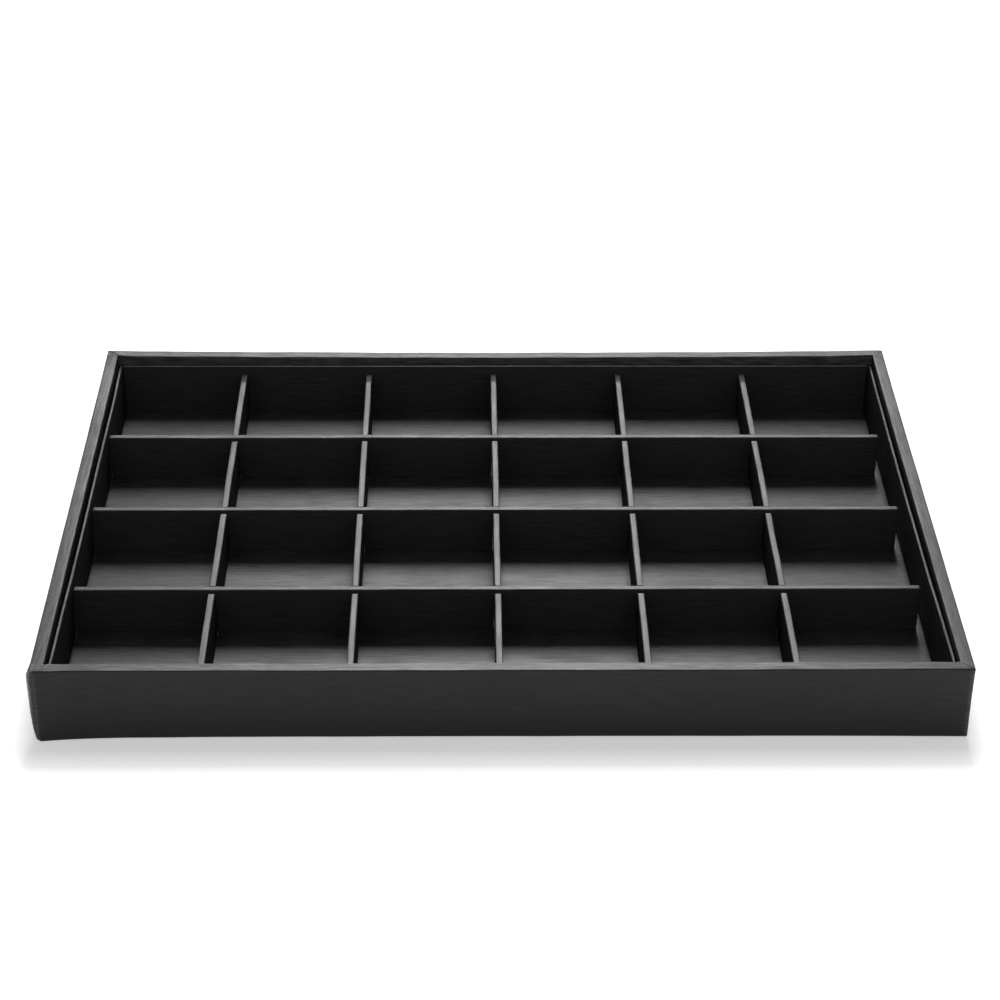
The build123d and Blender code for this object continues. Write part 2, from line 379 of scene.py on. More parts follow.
def wrap_profile():
    """The wrap's section as (inset from the outer face, height) from the end of the border
    under the base, out and round the foot, up the outside, over the rim and down the inside.
    Also how used it is at each point: the rim is, its inner fold most of all, and the foot.
    There the paler colour is partly from use and partly painted sheen."""
    lines = [
        np.stack([np.linspace(UNDER_BORDER, WRAP_FOOT_FOLD, 6), np.full(6, foot)], -1),
        arc((WRAP_FOOT_FOLD, foot + WRAP_FOOT_FOLD), WRAP_FOOT_FOLD, 270, 180, 6)[1:-1],
        np.stack([np.zeros(14), np.linspace(foot + WRAP_FOOT_FOLD, rim - WRAP_OUTER_FOLD, 14)], -1),
        arc((WRAP_OUTER_FOLD, rim - WRAP_OUTER_FOLD), WRAP_OUTER_FOLD, 180, 90, 8)[1:-1],
        np.stack([np.linspace(WRAP_OUTER_FOLD, wall - WRAP_INNER_FOLD, 19), np.full(19, rim)], -1),
        arc((wall - WRAP_INNER_FOLD, rim - WRAP_INNER_FOLD), WRAP_INNER_FOLD, 90, 0, 8)[1:-1],
        np.stack([np.full(8, wall), np.linspace(rim - WRAP_INNER_FOLD, well_floor, 8)], -1),
    ]
    # How worn each line is. On the rim, the inner fold and the foot the paler colour is also painted sheen
    wear_and_sheen = [0, 0.6, 0, 0.15, 0.8, 1, 0]
    wear_and_sheen = np.concatenate([np.full(len(line), part, float) for line, part in zip(lines, wear_and_sheen)])
    return np.concatenate(lines), wear_and_sheen


wrap_low, wrap_high = (np.array(c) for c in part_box("frame_cover"))
rail_low, rail_high = (np.array(c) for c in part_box("rail_front"))
wrap_thickness = rail_low[1] - wrap_low[1]
wall = rail_high[1] - rail_low[1] + 2 * wrap_thickness
foot, rim = wrap_low[2], wrap_high[2]
well_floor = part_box("base_board")[1][2]
profile, profile_wear_and_sheen = wrap_profile()
step = np.gradient(profile, axis=0)
step /= np.linalg.norm(step, axis=1, keepdims=True)
outward = np.stack([-step[:, 1], step[:, 0]], -1)
profile_inner = profile - wrap_thickness * outward
profile_length = np.concatenate([[0], np.cumsum(np.linalg.norm(np.diff(profile, axis=0), axis=1))])
half = wrap_high[:2]
# Each side's direction, the way out, its half length, its distance from the middle and its ends
sides = [
    ((1, 0), (0, -1), half[0], half[1], "front_left", "front_right"),
    ((0, 1), (1, 0), half[1], half[0], "front_right", "back_right"),
    ((-1, 0), (0, 1), half[0], half[1], "back_right", "back_left"),
    ((0, -1), (-1, 0), half[1], half[0], "back_left", "front_left"),
]
near_corner = np.array([0, 0.12, 0.25, 0.4, 0.6, 0.8, 1.05, 1.3, 1.6, *np.arange(2, 10.1, 0.5)]) * mm


def round_corner(radius, inset):
    """A corner's radius at an inset from the outer face: less and less, down to the inner one."""
    return np.maximum(radius - inset, WRAP_INNER_CORNER)


def frame_ring(section):
    """The section carried round the frame. On a side it moves along the side. At a corner it
    turns on an arc whose radius shrinks with the inset, so the inner corner is nearly sharp.
    Gives the points, the distance along the path, each point's distance to its nearest
    mitre, which is negative before the mitre, that mitre's corner by its place in sides, and
    the whole way round."""
    inset, height = section[:, 0][None], section[:, 1][None]
    rows, lengths, mitres, corners = [], [], [], []
    travelled = 0.0
    # Across a corner's arc the sections lie closer together near the mitre
    spread = np.linspace(-1, 1, 15)[1:-1, None]
    angle = np.pi / 4 * (1 + np.sign(spread) * np.abs(spread) ** 1.3)

    def raised(flat):
        """Points in the plane with the section's heights."""
        return np.concatenate([flat, np.broadcast_to(height[..., None], (*flat.shape[:2], 1))], -1)

    for order, (direction, out, reach, away, start, end) in enumerate(sides):
        direction, out = np.array(direction, float), np.array(out, float)
        full = 2 * reach - WRAP_CORNER_RADII[start] - WRAP_CORNER_RADII[end]
        middle = np.arange(near_corner[-1], full - near_corner[-1], WRAP_STEP)
        steps = np.concatenate([near_corner, middle[1:], (full - near_corner)[::-1]])[:, None]
        first = -(reach - inset - round_corner(WRAP_CORNER_RADII[start], inset))
        last = reach - inset - round_corner(WRAP_CORNER_RADII[end], inset)
        a = first + (last - first) * steps / full
        flat = direction * a[..., None] + out * (away - inset)[..., None]
        rows.append(raised(flat))
        lengths.append(travelled + steps[:, 0])
        arc_length = round_corner(WRAP_USUAL_CORNER, inset) * np.pi / 4
        mitres.append(np.where(a < 0, a - first + arc_length, a - last - arc_length))
        corners.append(np.where(a < 0, (order - 1) % 4, order))
        travelled += full
        radius = round_corner(WRAP_CORNER_RADII[end], inset)
        turn = out * np.cos(angle)[..., None] + direction * np.sin(angle)[..., None]
        centre = direction * (reach - inset - radius)[..., None] + out * (away - inset - radius)[..., None]
        flat = centre + turn * np.broadcast_to(radius, (len(angle), radius.shape[1]))[..., None]
        rows.append(raised(flat))
        lengths.append(travelled + WRAP_CORNER_RADII[end] * angle[:, 0])
        mitres.append((angle - np.pi / 4) * radius)
        corners.append(np.full(mitres[-1].shape, order))
        travelled += WRAP_CORNER_RADII[end] * np.pi / 2
    return tuple(np.concatenate(part) for part in (rows, lengths, mitres, corners)) + (travelled,)


wrap_outside, wrap_along, mitre, corner, perimeter = frame_ring(profile)
wrap_inside = frame_ring(profile_inner)[0]
rows_along = wrap_along[:, None]
inset = profile[:, 0][None]
on_rim = share_past(profile[:, 1], rim - 2.5 * mm, rim - 1.0 * mm)[None]

# On the rim: a crease along each mitre, lumps of doubled sheet beside it, and a slow unevenness.
# A corner's crease in the mitre: its depth, and the insets from the outer face that it lies between
CREASES = {
    "front_right": (0.3 * mm, 0.2 * mm, 3.4 * mm),
    "back_right": (0.2 * mm, 0.0 * mm, 2.6 * mm),
    "back_left": (0.3 * mm, 0.3 * mm, 6.0 * mm),
    "front_left": (0.0 * mm, 0.0 * mm, 1.0 * mm),
}
CREASE_WIDTH = 0.2 * mm
CREASE_FADE = 0.6 * mm
DOUBLED_FROM = 0.5 * mm
DOUBLED_TO = 3.2 * mm
PUCKER_LENGTHS = (2.1 * mm, 1.37 * mm, 3.3 * mm)
PUCKER_HEIGHT = 0.09 * mm
DOUBLED_SINK = 0.02 * mm
RIM_SINK = 0.05 * mm
depths, starts, ends = (
    np.array([CREASES[side[-1]][part] for side in sides])[corner] for part in range(3)
)
crease = hump(mitre, CREASE_WIDTH) * (inset >= starts) * share_past(ends - inset, 0, CREASE_FADE)
beside = hump(mitre, DOUBLED_TO) * (1 - hump(mitre, DOUBLED_FROM))
puckers = waves(rows_along + 0.7 * profile_length[None], PUCKER_LENGTHS, (0.45, 0.3, 0.4), 3)
uneven = waves(
    rows_along, (perimeter / 9, perimeter / 23, perimeter / 41), (0.05 * mm, 0.05 * mm, 0.03 * mm), 5
)
lift = -depths * crease + beside * (PUCKER_HEIGHT * puckers - DOUBLED_SINK) + uneven - RIM_SINK
wrap_outside[..., 2] += on_rim * lift

# The back rail bows: its middle lies lower than its ends, which the side rails meet
BOW_MIDDLE = -0.3 * mm
BOW_ENDS = 0.8 * mm
BOW_RUNOUT = 40 * mm
to_end = np.clip(np.abs(wrap_outside[..., 0]) / half[0], 0, 1)
bow = BOW_MIDDLE + (BOW_ENDS - BOW_MIDDLE) * to_end**2
from_back = np.maximum(half[1] - wall - wrap_outside[..., 1], 0)
wrap_outside[..., 2] += on_rim * bow * np.exp(-from_back / BOW_RUNOUT)

# At the front left corner the front sheet laps over the left one. Its cut edge is a small ridge,
# from the outer corner in a bow to the inner edge of the front rim.
LAP_HEIGHT = 0.15 * mm
LAP_EDGE = 0.6 * mm
LAP_START = 0.3 * mm
LAP_SLANT = 1.35
LAP_BOW = 0.9 * mm
LAP_REACH = 14 * mm
LAP_RUNOUT = 2.2 * mm
from_left = wrap_outside[..., 0] + half[0]
from_front = wrap_outside[..., 1] + half[1]
lap_bow = LAP_BOW * np.sin(np.pi * np.clip(from_front / wall, 0, 1))
past_lap = from_left - (LAP_START + LAP_SLANT * from_front + lap_bow)
near_front_left = (from_left < LAP_REACH) & (from_front < wall + 0.1 * mm)
rise = share_past(past_lap, -LAP_EDGE / 2, LAP_EDGE / 2)
lap = rise * rise * (3 - 2 * rise) * np.exp(-np.maximum(past_lap, 0) / LAP_RUNOUT)
wrap_outside[..., 2] += np.where(near_front_left, on_rim * lap * LAP_HEIGHT, 0)

# At the back corners the doubled sheet lies in a lump by the inner corner: its side, height and width
BACK_LUMPS = ((-1, 0.42 * mm, 2.6 * mm), (1, 0.22 * mm, 2.0 * mm))
LUMP_INSET = np.array([4.4 * mm, 4.2 * mm])
for side, lump_height, lump_width in BACK_LUMPS:
    place = (half - LUMP_INSET) * np.array([side, 1])
    away_from_lump = np.linalg.norm(wrap_outside[..., :2] - place, axis=-1)
    wrap_outside[..., 2] += on_rim * lump_height * hump(away_from_lump, lump_width)

# The outer faces belly out a little
OUTER_BELLY = 0.05 * mm
swell = waves(
    rows_along + 0.4 * profile_length[None],
    (perimeter / 7, perimeter / 17, perimeter / 33), (0.04 * mm, 0.05 * mm, 0.03 * mm), 8,
)
outer_wall = ((profile[:, 0] < WRAP_FOOT_FOLD / 2) & (profile[:, 1] > foot))[None]
flat_out = np.gradient(wrap_outside[..., :2], axis=0)
flat_out = np.stack([flat_out[..., 1], -flat_out[..., 0]], -1)
flat_out /= np.maximum(np.linalg.norm(flat_out, axis=-1, keepdims=True), 1e-9)
wrap_outside[..., :2] -= flat_out * ((OUTER_BELLY + swell) * (1 - on_rim) * outer_wall)[..., None]

# The doubled sheet bulges all down the front left edge, beside a groove where the two layers meet
BULGE = 1.55 * mm
BULGE_PLACE = -2.4 * mm
BULGE_WIDTH = 2.4 * mm
BULGE_RUNOUT = 1.0 * mm
BULGE_EASE = 0.6
GROOVE = 0.3 * mm
GROOVE_PLACE = 0.9 * mm
GROOVE_FLANKS = (0.2 * mm, 0.45 * mm)
height_share = (profile[:, 1][None] - foot) / (rim - foot)
at_front_left = corner == 3
low_part = (profile[:, 0] < 3 * mm)[None]
upper = (share_past(height_share, 0, 0.3) * (1 - share_past(height_share, 0.89, 0.99))) ** BULGE_EASE
belly = hump(np.minimum(mitre, 0) - BULGE_PLACE, BULGE_WIDTH) * hump(np.maximum(mitre, 0), BULGE_RUNOUT)
past_groove = mitre - GROOVE_PLACE
flank = np.where(past_groove < 0, *GROOVE_FLANKS)
groove_ends = share_past(height_share, 0, 1 / 6) * (1 - share_past(height_share, 0.87, 0.97))
wrap_outside[..., 0] -= BULGE * upper * belly * low_part * at_front_left
wrap_outside[..., 1] += GROOVE * hump(past_groove, flank) * outer_wall * groove_ends * at_front_left

# The front face flares at its foot towards both ends: a flare's size and how far it reaches
FOOT_FLARE = 0.45 * mm
FOOT_FLARE_LEFT = (2.8 * mm, 17 * mm)
FOOT_FLARE_RIGHT = (0.9 * mm, 60 * mm)
# It gives way by this share within this distance of the left end, where the foot is tucked in
FLARE_LOSS = (0.45, 1.6 * mm)
FOOT_TUCK = 0.6 * mm
FOOT_TUCK_WIDTHS = (3 * mm, 1.2 * mm)
to_left, to_right = wrap_outside[..., 0] + half[0], half[0] - wrap_outside[..., 0]
on_front = (1 - share_past(from_front, 0.5 * mm, 1.0 * mm)) * (from_front < wall)
flare = FOOT_FLARE + FOOT_FLARE_LEFT[0] * np.exp(-to_left / FOOT_FLARE_LEFT[1])
flare = flare + FOOT_FLARE_RIGHT[0] * np.exp(-to_right / FOOT_FLARE_RIGHT[1])
flare = flare * (1 - FLARE_LOSS[0] * hump(to_left, FLARE_LOSS[1]))
foot_part = (1 - share_past(height_share, 0, 0.6)) ** 1.3 * low_part
wrap_outside[..., 1] -= flare * foot_part * on_front
tuck = hump(np.minimum(mitre, 0), FOOT_TUCK_WIDTHS[0]) * hump(np.maximum(mitre, 0), FOOT_TUCK_WIDTHS[1])
tuck_part = (1 - share_past(height_share, 0, 0.25)) ** 1.5 * low_part
wrap_outside[..., 0] += FOOT_TUCK * tuck * tuck_part * at_front_left

# Worn and painted: the rim and folds, partly worn and partly painted sheen; the corners' standing edges,
# partly worn and partly a painted highlight; and the back rail's inner face, painted light on a face in
# shade
STANDING_EDGE_HIGHLIGHT = 1.2 * mm
standing_edge_wear_and_highlight = hump(mitre, STANDING_EDGE_HIGHLIGHT) * outer_wall
inner_face = (profile_length > profile_length[-1] - (rim - well_floor))[None]
# The back rail's inner face is painted paler: painted light where it lies in shade
back_rail_painted_light = ((corner == 1) | (corner == 2)) & (wrap_outside[..., 1] > half[1] - wall - 0.1 * mm)
wrap_wear_and_sheen = np.maximum(np.maximum(profile_wear_and_sheen[None], standing_edge_wear_and_highlight), back_rail_painted_light & inner_face)

# The side rims are painted darker at their outer edge and paler and paler towards the inside: painted sheen
# and shade across them
SIDE_RIM_PAINTED_SHEEN = (0.16, 0.98)
side_rim = (np.abs(wrap_outside[..., 0]) > half[0] - wall) & (np.abs(wrap_outside[..., 1]) < half[1] - wall)
side_rim = side_rim & (on_rim > 0.9) & (inset < wall - 0.1 * mm)
side_rim_painted_sheen = SIDE_RIM_PAINTED_SHEEN[0] + (SIDE_RIM_PAINTED_SHEEN[1] - SIDE_RIM_PAINTED_SHEEN[0]) * inset / wall
wrap_wear_and_sheen = np.where(side_rim, side_rim_painted_sheen, wrap_wear_and_sheen)

# Towards the pale backing colour: the bulging edge is made paler, and the lap's cut edge on the rim is
# rubbed
EDGE_PALENESS = 0.5
EDGE_PALENESS_PLACE = -0.4 * mm
EDGE_PALENESS_WIDTH = 0.5 * mm
LAP_RUB = 0.45
LAP_RUB_WIDTH = 0.45 * mm
paler_edge = EDGE_PALENESS * hump(mitre - EDGE_PALENESS_PLACE, EDGE_PALENESS_WIDTH) * outer_wall * at_front_left
rubbed_lap = LAP_RUB * hump(past_lap, LAP_RUB_WIDTH) * on_rim * near_front_left
wrap_wear_and_sheen = wrap_wear_and_sheen + paler_edge + rubbed_lap

frame_wrap = sheet_mesh(
    "frame_wrap", wrap_outside, wrap_inside,
    np.append(wrap_along, perimeter), profile_length, wrap_wear_and_sheen, closed=True,
)
frame_leatherette = brushed_leatherette(
    "frame_leatherette", LEATHERETTE, LEATHERETTE_WORN_AND_SHEEN, specular=0.27, rough=(0.47, 0.35), spread=0.12
)
frame_wrap.data.materials.append(frame_leatherette)
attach(frame_wrap, "tray")
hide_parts("frame_cover")

# Underside paper.
# A sheet of matt black paper is glued over the turned-under border and the bare base board.
# It has a felt-like tooth and hides the cut edge of the wrap.

PAPER = ((0.022, 0.022, 0.023, 1), (0.05, 0.05, 0.052, 1))
PAPER_NOISES = ((2600, 4.0, (1, 1, 1), 0.6), (220, 3.0, (1, 1, 1), 0.4))

black_paper = matt_finish(
    "black_paper", PAPER_NOISES, PAPER, roughness=(0.92, 0.78), specular=0.3, tooth=0.07 * mm
)
finish_node("underside_paper", black_paper)

# Floor.
# A loose card with the brushed leatherette stretched over its top and edges. It lies on the base
# board between the liner strips, and its streaks run from left to right.

CARD = ((0.03, 0.03, 0.03, 1), (0.075, 0.074, 0.072, 1))
CARD_NOISES = ((1900, 4.0, (1, 1, 3), 1),)
FLOOR = ((0.002, 0.002, 0.0021, 1), (0.048, 0.0478, 0.048, 1))
FLOOR_STEP = 2.4 * mm
FLOOR_MARGIN = 1.5 * mm
FLOOR_SINK = 0.06 * mm
FLOOR_UNEVENNESS = 0.02 * mm

black_card = matt_finish(
    "black_card", CARD_NOISES, CARD, roughness=(0.9, 0.72), specular=0.35, tooth=0.05 * mm
)
finish_node("floor_card", black_card)

floor_low, floor_high = (np.array(c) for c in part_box("floor_lining"))
lining_thickness = floor_high[2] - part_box("floor_card")[1][2]


def floor_sheet(inset):
    """The lining over the floor card: flat on top, rolled over each edge on a small arc, then
    straight down. Both directions use the same curve, and the deeper drop of the two counts.
    On the outside the flat part is a little uneven. Gives the points and the places in X and Y."""
    bend = max(lining_thickness - inset, 0.02 * mm)
    fall = floor_high[2] - inset - floor_low[2]

    def curve(reach):
        """Places from one edge to the other, and how far the lining has dropped at each."""
        angle = np.radians(np.linspace(0, 90, 4))
        flat = np.arange(-reach + FLOOR_MARGIN, reach - FLOOR_MARGIN, FLOOR_STEP)
        side = np.concatenate([reach - bend + bend * np.sin(angle), [reach, reach]])
        drop = np.concatenate([bend * (1 - np.cos(angle)), [0.5 * mm, fall]])
        return np.concatenate([-side[::-1], flat, side]), np.concatenate([drop[::-1], 0 * flat, drop])

    x, x_drop = curve(floor_high[0] - inset)
    y, y_drop = curve(floor_high[1] - inset)
    grid = np.zeros((len(x), len(y), 3))
    grid[..., 0], grid[..., 1] = x[:, None], y[None]
    drop = np.maximum(x_drop[:, None], y_drop[None])
    grid[..., 2] = floor_high[2] - inset - np.minimum(drop, fall)
    level = np.clip(1 - drop / bend, 0, 1)
    heights = (FLOOR_UNEVENNESS, FLOOR_UNEVENNESS)
    soft = waves(x[:, None] + 0.3 * y[None], (61 * mm, 97 * mm), heights, 11)
    soft = soft + waves(y[None] - 0.2 * x[:, None], (47 * mm, 83 * mm), heights, 12)
    grid[..., 2] += (soft - FLOOR_SINK) * level * (inset == 0)
    return grid, x, y


floor_outside, floor_x, floor_y = floor_sheet(0)
floor_inside = floor_sheet(lining_thickness)[0]
floor_cover = sheet_mesh("floor_cover", floor_outside, floor_inside, floor_x, floor_y, np.ones((1, 1)))
floor_leatherette = brushed_leatherette(
    "floor_leatherette", FLOOR, FLOOR, specular=0.85, rough=(0.6, 0.45), spread=0.35
)
floor_cover.data.materials.append(floor_leatherette)
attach(floor_cover, "tray")
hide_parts("floor_lining")

# Liner strips.
# Thin card in thin leatherette, which folds over the top and a short way down the back. The strips
# stand loose between floor and wall, so their tops bow by a few tenths of a millimetre.

LINER = ((0.008, 0.008, 0.0082, 1), (0.02, 0.0198, 0.02, 1))
LINER_WORN_AND_HIGHLIGHT = (LINER[0], (0.08, 0.0798, 0.08, 1))
# The standing faces' colours and specular level: one copy painted lighter for faces that look to the front,
# one painted darker as shade for faces that look to the sides
LINER_FACES = {
    "long_faces_painted_light": (((0.036, 0.036, 0.0362, 1), (0.054, 0.0538, 0.054, 1)), 0.05),
    "side_faces_painted_shade": (((0.008, 0.008, 0.0081, 1), (0.018, 0.0179, 0.018, 1)), 0.04),
}
FACE_RELIEF = 0.1 * mm
FACE_DROP = 0.15 * mm
LINER_TURNOVER = 9 * mm
LINER_CORNER = 1.2 * mm
CORE_FOLD = 0.06 * mm
# A card's inner side is its outer one, drawn in across the strip until the two nearly meet
CORE_CLOSED = np.array([1, 0.02, 1])
STRIP_STEP = 3 * mm
# Each strip's fold, how worn its top is, and how far the top leans out of line, at places from
# one end to the other, in mm. The back strip's top number goes past 1, which paints it towards
# the pale backing colour: a painted highlight along it.
LINER_STRIPS = {
    "front": (0.42 * mm, 1, (0.1, -0.1, 0.1, 0.0, -0.1, 0.05)),
    "back": (0.28 * mm, 1.6, (0.15, 0.05, -0.1, 0.05, -0.05, 0.1)),
    "left": (0.42 * mm, 1, (0.2, 0.1, -0.2, -0.25, -0.15, -0.1, -0.2, 0.25)),
    "right": (0.42 * mm, 1, (-0.45, -0.3, 0.05, 0.1, 0.1, 0.0, -0.2, -0.5)),
}


def strip_sheet(length, height, thickness, fold, corner, inset, places, levels):
    """The skin of a strip that stands on its long edge, at an inset from its outside. Each
    section is an upside-down U: up the front, round the fold, across the top, round and down
    the back. Towards the ends the U gets lower on the corner's arc and thinner on the fold's.
    places are the sections' places along the strip and levels their heights up the sides.
    Gives a grid of (along, across, up)."""
    half, top, reach = thickness / 2 - inset, height - inset, length / 2 - inset
    bend, corner = max(fold - inset, 0.04 * mm), corner - inset
    angle = np.radians(np.linspace(0, 90, 9))
    end = reach - corner + corner * np.sin(angle)
    a = np.concatenate([-end[::-1], places, end])
    sink = corner * (1 - np.cos(angle))
    sink = np.concatenate([sink[::-1], 0 * places, sink])
    past = np.maximum(np.abs(a) - (reach - bend), 0)
    width = half - bend + np.sqrt(np.maximum(bend**2 - past**2, 0))
    bend = np.minimum(bend, width)
    shoulder = top - sink - bend
    rise = levels[None] * (shoulder / shoulder.max())[:, None]
    rise = np.concatenate([rise, shoulder[:, None]], 1)
    turn = np.radians(np.linspace(0, 90, 7))[None, 1:]
    flat_side = -np.broadcast_to(width[:, None], rise.shape)
    ridge = -(width - bend)[:, None]
    side = np.concatenate([flat_side, ridge - bend[:, None] * np.cos(turn), ridge / 3], 1)
    up = np.concatenate([rise, shoulder[:, None] + bend[:, None] * np.sin(turn)], 1)
    up = np.concatenate([up, up[:, -1:]], 1)
    side, up = np.concatenate([side, -side[:, ::-1]], 1), np.concatenate([up, up[:, ::-1]], 1)
    return np.stack([np.broadcast_to(a[:, None], side.shape), side, up], -1)


def strip_marks(grid, levels):
    """Distances along and across a strip's skin for its UV map, and its wear: 1 on the folds."""
    middle = grid[len(grid) // 2]
    across = np.concatenate([[0], np.cumsum(np.linalg.norm(np.diff(middle, axis=0), axis=1))])
    wear_and_sheen = np.zeros(len(middle))
    first = len(levels) + 1
    wear_and_sheen[first : first + 5] = 1
    wear_and_sheen = np.maximum(wear_and_sheen, wear_and_sheen[::-1])
    return grid[:, 0, 0], across, wear_and_sheen[None]


def strip_places(length):
    """Places of sections along a strip, one step apart, as far as a step from its ends."""
    return np.arange(-length / 2 + STRIP_STEP, length / 2 - STRIP_STEP + 0.1 * mm, STRIP_STEP)


def stand(grid, middle, foot_level, turned):
    """Puts a strip's grid in the tray: along X, or along Y if it is turned."""
    a, b, c = np.moveaxis(grid, -1, 0)
    x, y = (middle[0] - b, middle[1] + a) if turned else (middle[0] + a, middle[1] + b)
    return np.stack([x, y, foot_level + c], -1)


def liner_finishes(name):
    """A strip's glossy top, and two copies of its standing faces: one painted lighter for strips
    that run from left to right, whose faces look to the front, and one painted darker as shade
    for those that run front to back, whose faces look to the sides."""
    top = brushed_leatherette(
        f"{name}_leatherette", LINER, LINER_WORN_AND_HIGHLIGHT, specular=0.49, rough=(0.49, 0.37), spread=0.1
    )
    faces = [
        brushed_leatherette(f"{name}_{part}", colours, colours, specular, (0.9, 0.74), 0, FACE_RELIEF)
        for part, (colours, specular) in LINER_FACES.items()
    ]
    return top, *faces


def use_below(piece, height, material):
    """The faces of a piece whose middle lies lower than the height take the material."""
    piece.data.materials.append(material)
    middle = np.empty(3 * len(piece.data.polygons), np.float32)
    piece.data.polygons.foreach_get("center", middle)
    piece.data.polygons.foreach_set("material_index", (middle[2::3] < height).astype(np.int32))


def smooth_through(values, share):
    """A smooth line through evenly spaced values: cosine steps between neighbours."""
    values = np.asarray(values, float)
    at = np.clip(share, 0, 1) * (len(values) - 1)
    left = np.minimum(at.astype(int), len(values) - 2)
    ease = (1 - np.cos(np.pi * (at - left))) / 2
    return values[left] * (1 - ease) + values[left + 1] * ease


def leant(grid, bows, length, height):
    """A strip's top moved across by its bow, and less and less further down."""
    lean = smooth_through(bows, grid[..., 0] / length + 0.5) * mm
    grid = grid.copy()
    grid[..., 1] += lean * (np.clip(grid[..., 2], 0, None) / height) ** 1.5
    return grid


def liner_strip(side_name, top_fold, top_wear_and_highlight, bows):
    """A liner strip: its skin with the covering's two finishes, and the card inside it."""
    turned = side_name in ("left", "right")
    low, high = (np.array(c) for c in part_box(f"liner_cover_{side_name}"))
    size = high - low
    length, thickness = (size[1], size[0]) if turned else (size[0], size[1])
    skin = high[2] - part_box(f"liner_card_{side_name}")[1][2]
    places = strip_places(length)
    levels = np.array([0, 3 * mm, 6 * mm, 9 * mm, 12 * mm, size[2] - LINER_TURNOVER, 17 * mm, 20 * mm])

    def placed(grid):
        """A grid of the strip, leant by its bow and stood in the tray."""
        return stand(leant(grid, bows, length, size[2]), (low + high) / 2, low[2], turned)

    outside, inside = (
        strip_sheet(length, size[2], thickness, top_fold, LINER_CORNER, inset, places, levels)
        for inset in (0, skin)
    )
    along, across, wear_and_sheen = strip_marks(outside, levels)
    cover = sheet_mesh(
        f"liner_strip_{side_name}", placed(outside), placed(inside),
        along, across, wear_and_sheen * top_wear_and_highlight, capped=True,
    )
    cover.data.materials.append(liner_leatherette)
    # Standing faces: the copy painted darker as shade on strips that run front to back, the one painted
    # lighter on those that run left to right
    use_below(cover, high[2] - top_fold - FACE_DROP, liner_side_faces_painted_shade if turned else liner_long_faces_painted_light)
    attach(cover, "tray")
    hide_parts(f"liner_cover_{side_name}")

    card = strip_sheet(
        length - 2 * skin, size[2] - skin, thickness - 2 * skin,
        CORE_FOLD, LINER_CORNER - skin, 0, places[1:-1], levels,
    )
    core = sheet_mesh(
        f"liner_core_{side_name}", placed(card), placed(card * CORE_CLOSED),
        card[:, 0, 0], across, np.zeros((1, 1)), capped=True,
    )
    core.data.materials.append(black_card)
    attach(core, "tray")
    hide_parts(f"liner_card_{side_name}")


liner_leatherette, liner_long_faces_painted_light, liner_side_faces_painted_shade = liner_finishes("liner")
for side_name, marks in LINER_STRIPS.items():
    liner_strip(side_name, *marks)

# Dividers.
# Die-cut card in thin leatherette, which folds over the top and down the ends. The three long ones
# have slots that are open at the bottom, the five cross ones at the top, and they push together.

DIVIDER_FOLD = 0.4 * mm
DIVIDER_CORNER = 0.8 * mm
SLOT_WIDTH = 2.9 * mm
SLOT_DEPTH = 9.9 * mm
# How far a slot's mouth is cut back on its first side along the strip, and on its second
LONG_SLOT_LEADS = (0.2 * mm, 0.2 * mm)
CROSS_SLOT_LEADS = (2.0 * mm, 0.6 * mm)
# Other sections keep this far from a slot's mouth
SLOT_MARGIN = 0.6 * mm
# The waves of a divider's bow, and of its top: how many there are in its length, and their height
DIVIDER_BOWS = ((1.7, 0.03 * mm), (3.1, 0.03 * mm), (6.3, 0.02 * mm))
DIVIDER_CRESTS = ((2.3, 0.02 * mm), (5.7, 0.02 * mm), (12, 0.015 * mm))
DIVIDER_SINK = 0.05 * mm
# Each divider's streaks start further along by this many metres, so that no two look alike
STREAK_SHIFT = 0.61
LONG_NAMES = ("front", "middle", "back")
CROSS_NAMES = (1, 2, 3, 4, 5)
LONG_SEED = 21
CROSS_SEED = 30


def centre_of(node):
    """The middle of a CAD node's box."""
    low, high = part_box(node)
    return np.array((low + high) / 2)


def strip_waves(grid, length, kinds, seed):
    """Waves along a strip, from how many there are in its length and their heights."""
    counts, heights = zip(*kinds)
    return waves(grid[..., 0], [length / count for count in counts], heights, seed)


